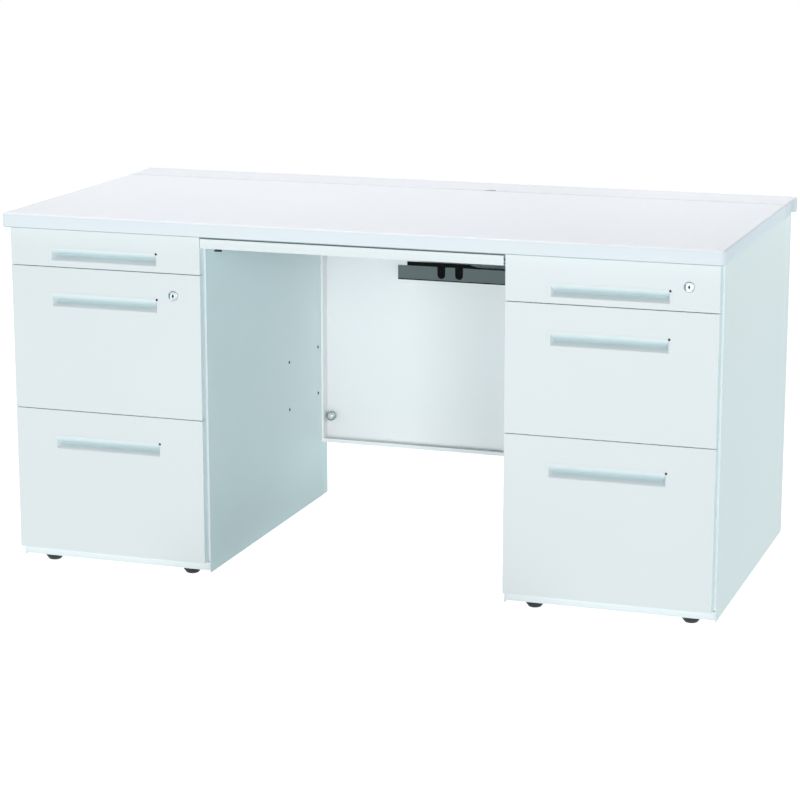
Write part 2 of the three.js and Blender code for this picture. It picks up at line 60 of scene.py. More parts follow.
class Material:
    """A Principled material, with short ways to give it colour, roughness and relief from noise."""

    def __init__(self, name, metallic=0.0, specular=0.5):
        self.material = bpy.data.materials.new(name)
        self.material.use_nodes = True
        self.tree = self.material.node_tree
        self.shader = self.tree.nodes["Principled BSDF"]
        self.shader.inputs["Metallic"].default_value = metallic
        self.shader.inputs["Specular IOR Level"].default_value = specular
        self.coordinates = self.tree.nodes.new("ShaderNodeTexCoord")
        self.relief = None

    def link(self, source, target):
        self.tree.links.new(source, target)

    def noise(self, scale, detail=2.0, stretch=(1, 1, 1)):
        """Noise with about scale lumps to the metre, longer along an axis whose stretch is small."""
        mapping = self.tree.nodes.new("ShaderNodeMapping")
        mapping.inputs["Scale"].default_value = stretch
        texture = self.tree.nodes.new("ShaderNodeTexNoise")
        texture.inputs["Scale"].default_value = scale
        texture.inputs["Detail"].default_value = detail
        self.link(self.coordinates.outputs["Object"], mapping.inputs["Vector"])
        self.link(mapping.outputs["Vector"], texture.inputs["Vector"])
        return texture.outputs["Fac"]

    def cells(self, scale, stretch=(1, 1, 1)):
        """Random grey for each cell of a Voronoi pattern, as in zinc spangle."""
        mapping = self.tree.nodes.new("ShaderNodeMapping")
        mapping.inputs["Scale"].default_value = stretch
        texture = self.tree.nodes.new("ShaderNodeTexVoronoi")
        texture.inputs["Scale"].default_value = scale
        self.link(self.coordinates.outputs["Object"], mapping.inputs["Vector"])
        self.link(mapping.outputs["Vector"], texture.inputs["Vector"])
        return texture.outputs["Color"]

    def across(self, output, axis, start, end):
        """0 up to start and 1 from end, along one axis of an output such as "Object" or "Normal"."""
        split = self.tree.nodes.new("ShaderNodeSeparateXYZ")
        spread = self.tree.nodes.new("ShaderNodeMapRange")
        spread.inputs["From Min"].default_value = start
        spread.inputs["From Max"].default_value = end
        self.link(self.coordinates.outputs[output], split.inputs["Vector"])
        self.link(split.outputs[axis], spread.inputs["Value"])
        return spread.outputs["Result"]

    def ramp(self, source, low, high, start=0.3, end=0.7):
        """Turns a value from start to end into a colour from low to high."""
        ramp = self.tree.nodes.new("ShaderNodeValToRGB")
        ramp.color_ramp.elements[0].position = start
        ramp.color_ramp.elements[0].color = (*low, 1)
        ramp.color_ramp.elements[1].position = end
        ramp.color_ramp.elements[1].color = (*high, 1)
        self.link(source, ramp.inputs["Fac"])
        return ramp.outputs["Color"]

    def mix(self, share, first, second):
        """The first colour where share is 0, the second where it is 1."""
        node = self.tree.nodes.new("ShaderNodeMix")
        node.data_type = "RGBA"
        self.link(share, node.inputs["Factor"])
        self.link(first, node.inputs["A"])
        self.link(second, node.inputs["B"])
        return node.outputs["Result"]

    def colour(self, output):
        self.link(output, self.shader.inputs["Base Color"])

    def roughness(self, source, low, high):
        """Roughness between low and high, following a value that lies mostly from 0.3 to 0.7."""
        spread = self.tree.nodes.new("ShaderNodeMapRange")
        spread.inputs["From Min"].default_value = 0.3
        spread.inputs["From Max"].default_value = 0.7
        spread.inputs["To Min"].default_value = low
        spread.inputs["To Max"].default_value = high
        self.link(source, spread.inputs["Value"])
        self.link(spread.outputs["Result"], self.shader.inputs["Roughness"])

    def bump(self, height, strength, distance):
        """Adds relief. Each call lies on top of the one before."""
        node = self.tree.nodes.new("ShaderNodeBump")
        node.inputs["Strength"].default_value = strength
        node.inputs["Distance"].default_value = distance
        self.link(height, node.inputs["Height"])
        if self.relief is not None:
            self.link(self.relief, node.inputs["Normal"])
        self.relief = node.outputs["Normal"]
        self.link(self.relief, self.shader.inputs["Normal"])


def shade(colour, share):
    """The colour, darkened to a share of its light."""
    return tuple(channel * share for channel in colour)


def powder_coat(name, colour, roughness=0.42, front_facing_shade_colour=None):
    """Sprayed powder paint: an orange-peel surface with a fine sparkle of roughness and faint clouds.
    Faces towards the desk's front may have a colour of their own, which is painted light and
    shade: the same paint made lighter or darker by which way a face turns."""
    coat = Material(name)
    clouds = coat.noise(5, 3)
    grain = coat.noise(1400, 2)
    peel = coat.noise(420, 2)
    body = coat.ramp(clouds, shade(colour, 0.985), colour)
    speck = coat.ramp(clouds, shade(colour, 0.965), shade(colour, 0.98))
    painted = coat.mix(coat.ramp(grain, (0, 0, 0), (1, 1, 1), 0.55, 0.75), body, speck)
    # Painted light and shade: faces that turn towards the front get a colour of their own.
    if front_facing_shade_colour:
        front = coat.ramp(clouds, shade(front_facing_shade_colour, 0.985), front_facing_shade_colour)
        painted = coat.mix(coat.across("Normal", "Y", -0.6, -0.8), painted, front)
    coat.colour(painted)
    coat.roughness(grain, roughness - 0.05, roughness + 0.07)
    coat.bump(peel, 0.12, 0.3 * MM)
    coat.bump(grain, 0.10, 0.08 * MM)
    return coat.material


def melamine(name, colour, front_edge_shade, end_edge_light, underside_and_shade, underside_and_shade_top):
    """The board's printed white foil: a fine leathery pebble, and tiny darker flecks. Its front edge
    and its ends get colours of their own by which way they face, darker at the front and lighter
    at the ends: painted shade and painted light. Grey paper covers all below a given height,
    partly the board's underside paper and partly painted shade under the board and on its lower
    edge."""
    foil = Material(name, specular=0.4)
    clouds = foil.noise(3, 3)
    pebble = foil.noise(900, 4)
    flecks = foil.noise(2600, 1)
    body = foil.ramp(clouds, shade(colour, 0.99), colour)
    fleck = foil.ramp(clouds, shade(colour, 0.95), shade(colour, 0.97))
    printed = foil.mix(foil.ramp(flecks, (0, 0, 0), (1, 1, 1), 0.6, 0.8), body, fleck)
    paper = foil.ramp(clouds, shade(underside_and_shade, 0.93), underside_and_shade)
    # Painted shade on the front edge, painted light on the ends, by which way a face turns.
    front = foil.ramp(clouds, shade(front_edge_shade, 0.985), front_edge_shade)
    ends = foil.ramp(clouds, shade(end_edge_light, 0.985), end_edge_light)
    band = foil.mix(foil.across("Normal", "Y", -0.4, -0.7), ends, front)
    outside = foil.mix(foil.across("Normal", "Z", 0.2, 0.5), band, printed)
    # Painted shade, partly real underside paper: grey below the given height, up onto the board's lower
    # edge.
    over_underside_and_shade = foil.across("Object", "Z", underside_and_shade_top, underside_and_shade_top + 0.1 * MM)
    foil.colour(foil.mix(over_underside_and_shade, paper, outside))
    foil.roughness(pebble, 0.44, 0.58)
    foil.bump(pebble, 0.18, 0.12 * MM)
    return foil.material


def moulded_plastic(name, colour, roughness, texture=1800, deep=None, specular=0.45):
    """Injection-moulded plastic with a spark-eroded skin and slow flow marks. A painted shade may be
    given: a darker second colour, and the two Y values between which the first turns into it, so
    that a hollow looks darker the deeper it goes."""
    plastic = Material(name, specular=specular)
    flow = plastic.noise(14, 3, (1, 1, 3))
    skin = plastic.noise(texture, 3)
    body = plastic.ramp(flow, shade(colour, 0.96), colour)
    # Painted shade: the colour turns darker with depth along Y, as shade in a hollow.
    if deep:
        dark, start, end = deep
        inner = plastic.ramp(flow, shade(dark, 0.96), dark)
        body = plastic.mix(plastic.across("Object", "Y", start, end), body, inner)
    plastic.colour(body)
    plastic.roughness(skin, roughness - 0.06, roughness + 0.08)
    plastic.bump(skin, 0.16, 0.08 * MM)
    return plastic.material


def zinc_plate(name, colour):
    """Rolled steel with bright zinc: streaks along the rolling direction over a faint spangle."""
    zinc = Material(name, metallic=1.0)
    streaks = zinc.noise(300, 4, (1, 0.03, 1))
    spangle = zinc.ramp(zinc.cells(160), shade(colour, 0.86), colour, 0.0, 1.0)
    dull = zinc.ramp(zinc.cells(160), shade(colour, 0.74), shade(colour, 0.9), 0.0, 1.0)
    zinc.colour(zinc.mix(streaks, spangle, dull))
    zinc.roughness(streaks, 0.24, 0.42)
    zinc.bump(streaks, 0.10, 0.05 * MM)
    return zinc.material


def plated(name, colour, roughness):
    """Satin plating with fine handling marks."""
    metal = Material(name, metallic=0.55)
    haze = metal.noise(60, 4)
    marks = metal.noise(1200, 3, (1, 1, 0.2))
    metal.colour(metal.ramp(haze, shade(colour, 0.93), colour))
    metal.roughness(marks, roughness - 0.05, roughness + 0.08)
    metal.bump(marks, 0.05, 0.03 * MM)
    return metal.material


# Colours, as linear red, green and blue.
STEEL_WHITE = (0.945, 0.95, 0.955)
# Painted shade: the faces of the drawer fronts, rail and plinth towards the front, darker than the same
# paint elsewhere.
FRONT_PAINTED_SHADE_WHITE = (0.69, 0.703, 0.71)
# Painted light: a lighter, bluer copy of the paint, on faces turned sideways and on the cabinets' sides
# in the knee space.
SIDE_PAINTED_LIGHT_WHITE = (0.83, 0.94, 0.96)
# Painted shade: the darker front edges of the cabinets' outer sides.
SHELL_EDGE_PAINTED_SHADE_WHITE = (0.83, 0.86, 0.87)
TOP_WHITE = (0.763, 0.781, 0.82)
# Painted shade: darker front edges, on the cabinets' sides in the knee space and on the board's front
# edge.
EDGE_PAINTED_SHADE_WHITE = (0.70, 0.728, 0.765)
# Painted light: the board's lighter ends.
END_PAINTED_LIGHT_WHITE = (0.88, 0.90, 0.95)
# Partly the board's grey underside paper, partly painted shade under the board and on its lower edge.
UNDERSIDE_AND_SHADE_GREY = (0.40, 0.43, 0.44)
UNDERSIDE_AND_SHADE_TOP = 674.0 * MM        # the board's underside is at 672 mm
CAP_WHITE = (0.80, 0.83, 0.86)
PULL_WHITE = (0.69, 0.74, 0.76)
# Painted shade in the pulls' hollows: a darker, bluer copy of the pull's plastic.
PULL_PAINTED_SHADE = (0.56, 0.66, 0.68)
PULL_PAINTED_SHADE_FROM = -325 * MM     # the Y values between which a pull's hollow turns to painted shade, darker with depth
PULL_PAINTED_SHADE_TO = -315 * MM
BRIGHT_ZINC = (0.62, 0.64, 0.65)
WORN_ZINC = (0.42, 0.50, 0.50)
LOCK_SILVER = (0.80, 0.82, 0.84)
COLLAR_GREY = (0.56, 0.59, 0.61)
# Painted shade: the dark blue crescent on the left inner wall of a lock's dish.
PAINTED_SHADE_BLUE = (0.09, 0.26, 0.42)
TRAY_GREY = (0.088, 0.118, 0.122)
GLIDE_BLACK = (0.018, 0.018, 0.02)
# Partly black plastic, partly painted shade inside the tray and along its edges.
COMB_AND_SHADE_BLACK = (0.006, 0.006, 0.006)

# The looks of the record's material slots, by the slots' names.
materials = {
    "steel_paint": powder_coat("white_powder_coat", STEEL_WHITE),
    "flap_paint": powder_coat("flap_powder_coat", TOP_WHITE, 0.46),
    "worktop_board": melamine("white_melamine", TOP_WHITE, EDGE_PAINTED_SHADE_WHITE, END_PAINTED_LIGHT_WHITE, UNDERSIDE_AND_SHADE_GREY,
                              UNDERSIDE_AND_SHADE_TOP),
    "cap_plastic": moulded_plastic("white_cap_plastic", CAP_WHITE, 0.45),
    "pull_plastic": moulded_plastic("white_pull_plastic", PULL_WHITE, 0.42,
                                    deep=(PULL_PAINTED_SHADE, PULL_PAINTED_SHADE_FROM, PULL_PAINTED_SHADE_TO)),
    "zinc_steel": zinc_plate("zinc_plated_steel", BRIGHT_ZINC),
    "lock_chrome": plated("lock_plating", LOCK_SILVER, 0.3),
    "tray_paint": powder_coat("dark_grey_powder_coat", TRAY_GREY, 0.5),
    "foot_plastic": moulded_plastic("black_glide_plastic", GLIDE_BLACK, 0.5, 900),
}
black = materials["foot_plastic"]


# ---- The CAD nodes ------------------------------------------------------------------------------

SHARP = math.radians(35)        # an edge that turns by more than this is rounded
# The radius of those edges, by material slot.
EDGE_RADIUS = {
    "worktop_board": 0.3 * MM,
    "flap_paint": 0.35 * MM,
    "steel_paint": 0.45 * MM,
    "cap_plastic": 0.8 * MM,
    "pull_plastic": 0.5 * MM,
    "zinc_steel": 0.25 * MM,
    "lock_chrome": 0.25 * MM,
    "tray_paint": 0.4 * MM,
    "foot_plastic": 0.5 * MM,
}


def node_material(name, slot_name):
    """The slot's material, except on the nodes whose faces get painted light and shade by which way
    they turn.
    """
    if name.endswith(("_drawer_front", "_base_frame")) or name == "knee_beam":
        return front_painted_light_and_shade_coat
    if name.endswith("_inner_side"):
        return inner_side_painted_light_and_shade_coat
    if name.endswith("_outer_side"):
        return shell_painted_shade_coat
    return materials[slot_name]


def finish_node(name, node):
    """Gives a CAD node its material and softened edges, with modifiers only."""
    slot_name = node.material_slots[0].material.name.split(".")[0]
    node.material_slots[0].link = "OBJECT"
    node.material_slots[0].material = node_material(name, slot_name)
    for attribute in ("custom_normal", "sharp_edge"):
        if attribute in node.data.attributes:
            node.data.attributes.remove(node.data.attributes[attribute])
    node.data.shade_smooth()
    weld = node.modifiers.new("weld", "WELD")
    weld.merge_threshold = 0.01 * MM
    flat = node.modifiers.new("flat_faces", "DECIMATE")
    flat.decimate_type = "DISSOLVE"
    flat.angle_limit = math.radians(0.5)
    bevel = node.modifiers.new("edges", "BEVEL")
    bevel.width = EDGE_RADIUS[slot_name]
    bevel.segments = 2
    bevel.limit_method = "ANGLE"
    bevel.angle_limit = SHARP
    bevel.use_clamp_overlap = True
    normals = node.modifiers.new("flat_shading", "WEIGHTED_NORMAL")
    normals.keep_sharp = True


# Copies of the same white paint with painted light and shade, lighter or darker by which way a face
# turns.
front_painted_light_and_shade_coat = powder_coat("front_painted_light_and_shade_powder_coat", SIDE_PAINTED_LIGHT_WHITE, front_facing_shade_colour=FRONT_PAINTED_SHADE_WHITE)
# The knee-space sides' paint: painted light on their faces, painted shade on their front edges.
inner_side_painted_light_and_shade_coat = powder_coat("inner_side_painted_light_and_shade_powder_coat", SIDE_PAINTED_LIGHT_WHITE, front_facing_shade_colour=EDGE_PAINTED_SHADE_WHITE)
# The outer sides' paint, with painted shade on their front edges.
shell_painted_shade_coat = powder_coat("shell_powder_coat", STEEL_WHITE, front_facing_shade_colour=SHELL_EDGE_PAINTED_SHADE_WHITE)
for node_name, cad_node in nodes.items():
    finish_node(node_name, cad_node)


# ---- Shapes for the fittings --------------------------------------------------------------------

class Shape:
    """A mesh put together from closed bodies, in millimetres in the row frame."""

    def __init__(self):
        self.mesh = bmesh.new()

    def loft(self, loops, close_last=True):
        """Joins loops of the same number of points into one skin. It closes the first, and mostly the
        last."""
        rings = [[self.mesh.verts.new(Vector(point) * MM) for point in loop] for loop in loops]
        count = len(rings[0])
        for near, far in zip(rings, rings[1:]):
            for i in range(count):
                j = (i + 1) % count
                self.mesh.faces.new((near[i], near[j], far[j], far[i]))
        self.mesh.faces.new(reversed(rings[0]))
        if close_last:
            self.mesh.faces.new(rings[-1])

    def box(self, x0, x1, y0, y1, z0, z1):
        """A block between three pairs of planes."""
        corners = [(x0, y0), (x1, y0), (x1, y1), (x0, y1)]
        self.loft([[(x, y, z) for x, y in corners] for z in (z0, z1)])

    def lathe(self, profile, centre, axis="z", sides=48, flutes=0, flute_depth=0.0):
        """Turns (radius, height) points round an axis. Flutes are grooves along the turned side."""
        loops = []
        for radius, height in profile:
            loop = []
            for i in range(sides):
                angle = 2 * math.pi * i / sides
                groove = 0.5 + 0.5 * math.cos(flutes * angle) if flutes else 0.0
                reach = max(radius - flute_depth * groove, 0.01)
                across, up = reach * math.cos(angle), reach * math.sin(angle)
                if axis == "z":
                    point = (centre[0] + across, centre[1] + up, centre[2] + height)
                elif axis == "y":
                    point = (centre[0] + up, centre[1] + height, centre[2] + across)
                else:
                    point = (centre[0] + height, centre[1] + across, centre[2] + up)
                loop.append(point)
            loops.append(loop)
        self.loft(loops)

    def wire(self, points, radius, sides=10):
        """A straight or bent round wire through points."""
        path = [Vector(point) for point in points]
        loops = []
        for i, point in enumerate(path):
            along = (path[min(i + 1, len(path) - 1)] - path[max(i - 1, 0)]).normalized()
            turn = along.to_track_quat("Z", "Y")
            ring = [turn @ Vector((math.cos(a), math.sin(a), 0)) * radius
                    for a in (2 * math.pi * k / sides for k in range(sides))]
            loops.append([point + offset for offset in ring])
        self.loft(loops)

    def piece(self, name, material, body, rounding=0.0, replaces=()):
        """Turns the shape into a piece that moves with a body. Rounding softens its sharp edges."""
        bmesh.ops.remove_doubles(self.mesh, verts=self.mesh.verts, dist=0.002 * MM)
        bmesh.ops.recalc_face_normals(self.mesh, faces=self.mesh.faces)
        for face in self.mesh.faces:
            face.smooth = True
        for edge in self.mesh.edges:
            edge.smooth = len(edge.link_faces) == 2 and edge.calc_face_angle() < SHARP
        data = bpy.data.meshes.new(name)
        self.mesh.to_mesh(data)
        self.mesh.free()
        made = bpy.data.objects.new(name, data)
        bpy.context.scene.collection.objects.link(made)
        data.materials.append(material)
        if rounding:
            bevel = made.modifiers.new("edges", "BEVEL")
            bevel.width = rounding * MM
            bevel.segments = 2
            bevel.limit_method = "ANGLE"
            bevel.angle_limit = SHARP
        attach(made, body)
        if replaces:
            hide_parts(*replaces)
        return made


def node_box(name):
    """A CAD node's low and high corners in millimetres."""
    low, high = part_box(name)
    return [value / MM for value in low], [value / MM for value in high]


# ---- Recessed pulls -----------------------------------------------------------------------------

RIM = 4.0                       # the pull's rim on the drawer front, all round the hollow
PROUD = 0.3                     # how far the rim stands off the face
FACE_SETBACK = 1.1              # from the CAD pull's front to the drawer's face
HOLD_DEPTH = 14.6               # the hollow's deepest point, behind the face
HOLD_HEIGHT = 9.5               # where that point lies, above the hollow's bottom edge
UPPER_CURVE = 1.5               # above it the hollow deepens with this power of the way down
LOWER_CURVE = 1.35              # and below it with this power of the way up
CHEEK = (1.2, 8.5)              # the splayed ends run from this distance to this one
CHEEK_BLEND = 1.2               # how softly a cheek meets the rest
BODY_REACH = 16.4               # the moulding's back, behind the face
BODY_WALL = 1.6                 # how far the moulding reaches past the hollow, behind the face
# How far each ring of the hollow's mesh lies from its edge.
HOLLOW_RINGS = (0.0, 0.25, 0.5, 1.0, 1.6, 2.5, 3.5, 4.6, 5.8, 7.0, 8.5, 10.0)


def rounded_loop(half_x, half_z, radius):
    """Points round a rectangle with round corners, closer together near its ends."""
    radius = min(radius, half_x, half_z)
    arc_x, arc_z = half_x - radius, half_z - radius
    near_ends = (0.0, 1.0, 2.0, 3.5, 5.0, 7.0, 9.0, 11.0)
    long_side = [arc_x - step for step in near_ends]
    long_side += [-value for value in reversed(long_side)]
    short_side = [arc_z * share for share in (1, 0.7, 0.4, 0.1, -0.2, -0.5, -0.8, -1)]
    arc = [(radius * math.sin(a), radius * math.cos(a)) for a in (math.pi / 8 * k for k in (1, 2, 3))]
    points = [(x, half_z) for x in reversed(long_side)]
    points += [(arc_x + across, arc_z + along) for across, along in arc]
    points += [(half_x, z) for z in short_side]
    points += [(arc_x + along, -arc_z - across) for across, along in arc]
    points += [(x, -half_z) for x in long_side]
    points += [(-arc_x - across, -arc_z - along) for across, along in arc]
    points += [(-half_x, z) for z in reversed(short_side)]
    points += [(-arc_x - along, arc_z + across) for across, along in arc]
    return points


def hollow_depth(x, z, half_x, height):
    """How deep the hollow is at x from its middle and z above its bottom edge."""
    way_down = max(height - z, 0.0) / (height - HOLD_HEIGHT)
    way_up = max(z, 0.0) / HOLD_HEIGHT
    from_end = (half_x - abs(x) - CHEEK[0]) / (CHEEK[1] - CHEEK[0])
    upper = HOLD_DEPTH * min(way_down, 1.0) ** UPPER_CURVE
    lower = HOLD_DEPTH * min(way_up, 1.0) ** LOWER_CURVE
    cheek = HOLD_DEPTH * max(from_end, 0.0)
    nearer = max(CHEEK_BLEND - abs(upper - cheek), 0.0) / CHEEK_BLEND
    blended = min(upper, cheek) - nearer * nearer * CHEEK_BLEND / 4
    return max(min(blended, lower), 0.0)


def build_pull(drawer):
    """A moulded pull: its rim in the front's paint, the hollow, and a black pin at a corner."""
    low, high = node_box(drawer + "_pull")
    middle = (low[0] + high[0]) / 2
    half_x = (high[0] - low[0]) / 2 - RIM
    bottom = low[2] + RIM
    height = high[2] - low[2] - 2 * RIM
    half_z = height / 2
    face = low[1] + FACE_SETBACK

    def loop(spread, radius, depth):
        """A loop that reaches spread past the hollow's edge, at one depth behind the face."""
        return [(middle + x, face + depth, bottom + half_z + z)
                for x, z in rounded_loop(half_x + spread, half_z + spread, radius)]

    loops = [
        loop(BODY_WALL, 1.0, BODY_REACH),
        loop(BODY_WALL, 1.0, 0.2),
        loop(RIM, 4.5, 0.0),
        loop(RIM, 4.5, -PROUD * 0.5),
        loop(RIM - 0.4, 4.1, -PROUD * 0.9),
        loop(RIM - 1.2, 3.4, -PROUD),
        loop(0.9, 2.0, -PROUD),
        loop(0.35, 1.5, -PROUD * 0.8),
        loop(0.05, 1.2, -PROUD * 0.3),
    ]
    for inset in (*HOLLOW_RINGS, half_z):
        points = rounded_loop(half_x - inset, half_z - inset, max(1.2 - inset, 0.0))
        loops.append([(middle + x, face + hollow_depth(x, half_z + z, half_x, height),
                       bottom + half_z + z) for x, z in points])
    shell = Shape()
    shell.loft(loops, close_last=False)
    made = shell.piece(drawer + "_pull_shell", materials["pull_plastic"], drawer,
                       replaces=[drawer + "_pull"])
    made.data.materials.append(front_painted_light_and_shade_coat)
    for polygon in made.data.polygons:
        on_rim = polygon.center.y < (face + 0.02) * MM and polygon.normal.y < -0.1
        if on_rim:
            polygon.material_index = 1
    pin = Shape()
    profile = [(0.3, 1.0), (2.2, 1.0), (2.4, -0.3), (1.8, -0.8), (0.3, -0.9)]
    pin.lathe(profile, (middle + half_x - 0.6, face, bottom + height + 0.8), "y", 20)
    pin.piece(drawer + "_pull_pin", black, drawer)


for side in SIDES:
    for row in ROWS:
        build_pull(f"{side}_{row}_drawer")


# ---- Levelling glides ---------------------------------------------------------------------------

THREAD_BOTTOM, THREAD_TOP = 19.3, 41.0
THREAD_PITCH = 1.25


def build_glide(foot):
    """A fluted pad on a zinc-plated screw with a hexagon nut and a visible thread."""
    low, high = node_box(foot)
    centre = ((low[0] + high[0]) / 2, (low[1] + high[1]) / 2, 0)
    pad = Shape()
    skirt = [(0.3, 0), (9.6, 0), (10.6, 0.3), (12.3, 1.2), (16.6, 7.0), (17.2, 8.0)]
    rim = [(17.5, 8.6), (17.5, 12.4), (17.0, 13.4), (16.0, 14.0), (9.0, 14.3), (0.3, 14.3)]
    pad.lathe(skirt, centre, sides=96, flutes=24, flute_depth=0.5)
    pad.lathe([(0.3, 7.6), (16.8, 7.6)] + rim, centre, sides=96)
    pad.piece(foot + "_pad", black, foot, replaces=[foot])
    screw = Shape()
    nut = [(6.6, 14.2), (7.5, 14.8), (7.5, 18.9), (6.6, 19.5)]
    screw.lathe(nut, centre, sides=6)
    thread = [(3.2, 14.0)]
    height = THREAD_BOTTOM
    while height < THREAD_TOP:
        thread += [(3.3, height), (4.0, height + 0.45), (3.3, height + 0.9)]
        height += THREAD_PITCH
    thread += [(3.0, THREAD_TOP + 1.0)]
    screw.lathe(thread, centre, sides=32)
    screw.piece(foot + "_screw", materials["zinc_steel"], foot)


for side in SIDES:
    for row in ("front", "back"):
        for hand in ("outer", "inner"):
            build_glide(f"{side}_{row}_{hand}_foot")


# ---- Locks --------------------------------------------------------------------------------------

PAINTED_SHADE_RADIUS = 7.3               # the arc of the blue painted shade round the lock's axis
PAINTED_SHADE_WIDTH = 3.2


def build_lock(side):
    """The barrel's rounded collar with a blue mark of painted shade on its dish's inner wall at the
    left, and a dark keyway on the plug: a black slot and disc of painted shade for the keyhole.
    """
    drawer = LOCKED[side]
    low, high = node_box(side + "_lock_barrel")
    x, z = (low[0] + high[0]) / 2, (low[2] + high[2]) / 2
    front = low[1]
    barrel = Shape()
    outside = [(6.2, 0.9), (6.6, 0.25), (7.4, 0.0), (8.4, 0.15), (9.3, 0.6), (9.9, 1.3), (10.0, 1.7)]
    inside = [(8.0, 1.7), (8.0, 29.5), (6.2, 29.5), (6.2, 0.9)]
    barrel.lathe(outside + inside, (x, front, z), "y", 64)
    barrel.piece(side + "_lock_collar", collar_plating, drawer,
                 replaces=[side + "_lock_barrel"])
    angles = [math.radians(180 + 10 * step) for step in range(-4, 5)]
    arc = [(x + PAINTED_SHADE_RADIUS * math.cos(a), front + 1.0, z + PAINTED_SHADE_RADIUS * math.sin(a)) for a in angles]
    # Painted shade: a blue crescent where the dish's inner wall is in shade.
    mark = Shape()
    mark.wire(arc, PAINTED_SHADE_WIDTH / 2, 16)
    mark.piece(side + "_lock_painted_shade", lock_shade_paint, drawer)
    # Painted shade: a black slot and disc that make the keyhole look dark.
    keyway = Shape()
    keyway.box(x - 1.3, x + 1.3, front + 0.4, front + 3.0, z - 4.0, z + 4.0)
    keyway.lathe([(0.3, 0.35), (2.5, 0.35), (2.6, 2.5), (0.3, 2.5)], (x, front, z), "y", 24)
    keyway.piece(side + "_lock_keyhole_shade", black, side + "_lock_plug")


collar_plating = plated("collar_plating", COLLAR_GREY, 0.35)
lock_shade_paint = moulded_plastic("blue_painted_lock_shade", PAINTED_SHADE_BLUE, 0.4)
for side in SIDES:
    build_lock(side)


# ---- Knee space and top: bolts, tray comb and painted-shade edging, buffer, seal and hole plugs ----

def build_modesty_bolt(side):
    """A domed screw on a thick washer, which holds the modesty panel to a cabinet."""
    low, high = node_box("modesty_bolt_" + side)
    x, z = (low[0] + high[0]) / 2, (low[2] + high[2]) / 2
    front, back = low[1], high[1]
    washer = Shape()
    washer.lathe([(0.3, back), (6, back), (6, front + 8), (10, front + 8), (10, front + 3.2),
                  (9.4, front + 2.4), (8.0, front + 2.0), (0.3, front + 2.2)], (x, 0, z), "y", 48)
    washer.piece(f"modesty_washer_{side}", worn_zinc, "desk_frame",
                 replaces=["modesty_bolt_" + side])
    head = Shape()
    head.lathe([(0.3, front + 3), (6.6, front + 3), (6.6, front + 1.6), (5.9, front + 0.7),
                (4.6, front + 0.15), (3.2, front), (2.7, front + 0.6), (2.6, front + 1.8),
                (0.3, front + 1.9)], (x, 0, z), "y", 48)
    head.piece(f"modesty_bolt_head_{side}", materials["lock_chrome"], "desk_frame")


COMB_LEFT, COMB_RIGHT = -73.0, 82.0
COMB_PITCH = 5.0                # from one tooth to the next
COMB_GAP = 0.42                 # between two teeth
COMB_ROOT = 18.0                # the teeth's root, below the top of the tray's lip
COMB_TOP = 8.0                  # their tips, above it
STRIP_TOP = 1.4                 # the plain strip beside the comb, above it
LAST_TEETH = 5                  # how many teeth at the right end get shorter, step by step


def build_tray_comb():
    """A black strip behind the tray's lip that closes its notches. It is also painted shade: it
    stands for the tray's shaded inside where that shows through the notches and over the lip. Part
    of it stands up as a comb.
    """
    low, high = node_box("cable_tray")
    back_of_lip = low[1] + 1.0
    lip_top = high[2]
    root = lip_top - COMB_ROOT
    right = high[0] - 0.4
    comb = Shape()
    comb.box(COMB_LEFT, right, back_of_lip + 0.4, back_of_lip + 2.6, low[2] + 3, root)
    comb.box(COMB_RIGHT, right, back_of_lip + 0.4, back_of_lip + 2.0, root, lip_top + STRIP_TOP)
    count = int((COMB_RIGHT - COMB_LEFT) / COMB_PITCH)
    for i in range(count):
        left = COMB_LEFT + i * COMB_PITCH
        share = min(1.0, (count - i) / LAST_TEETH)
        tip = lip_top + STRIP_TOP + (COMB_TOP - STRIP_TOP) * share
        comb.box(left, left + COMB_PITCH - COMB_GAP * share, back_of_lip + 0.5, back_of_lip + 2.3,
                 root, tip)
    comb.piece("tray_comb", black_and_painted_shade, "desk_frame", 0.2)


def build_tray_shade_edging():
    """Black edging on the tray's left end and along the bottom of its lip: painted shade, a dark line
    where the end wall and the lip's underside are in shade.
    """
    low, high = node_box("cable_tray")
    left, inner = low[0] - 0.8, low[0] - 0.1
    edging = Shape()
    edging.box(left, inner, low[1] - 0.6, high[1] - 2, low[2] - 0.6, low[2] + 1.6)
    edging.box(left, inner, low[1] - 0.6, low[1] + 1.8, low[2] - 0.6, high[2] + 0.3)
    edging.box(left, high[0], low[1] - 0.7, low[1] - 0.05, low[2] - 0.7, low[2] + 1.4)
    edging.piece("tray_edging", black_and_painted_shade, "desk_frame", 0.2)


BUFFER_X = -264.5               # the buffer's middle


def build_beam_buffer():
    """The small rubber buffer under the rail, near the left cabinet: a pad on a narrower foot."""
    low, high = node_box("knee_beam")
    foot, pad = 1.5, 6.5
    buffer = Shape()
    buffer.box(BUFFER_X - foot, BUFFER_X + foot, low[1] + 4, low[1] + 8, low[2] - 2.0, low[2] - 0.1)
    buffer.box(BUFFER_X - pad, BUFFER_X + pad, low[1] + 2, low[1] + 10, low[2] - 5.0, low[2] - 1.6)
    buffer.piece("beam_buffer", black, "desk_frame", 0.6)


def build_flap_seal():
    """A white strip on the board's rear edge that fills the gap in front of the flap."""
    board, flap = node_box("tabletop"), node_box("duct_cover")
    seal = Shape()
    seal.box(board[0][0] + 1, board[1][0] - 1, board[1][1] + 0.05, flap[0][1] - 0.3,
             board[1][2] - 6.0, board[1][2] - 1.2)
    seal.piece("flap_seal", materials["cap_plastic"], "desk_frame")


# Where the holes of a cabinet's side towards the knee space are.
HOLE_Y = (118.0, 286.0)
HOLE_Z = (342.0, 242.0)


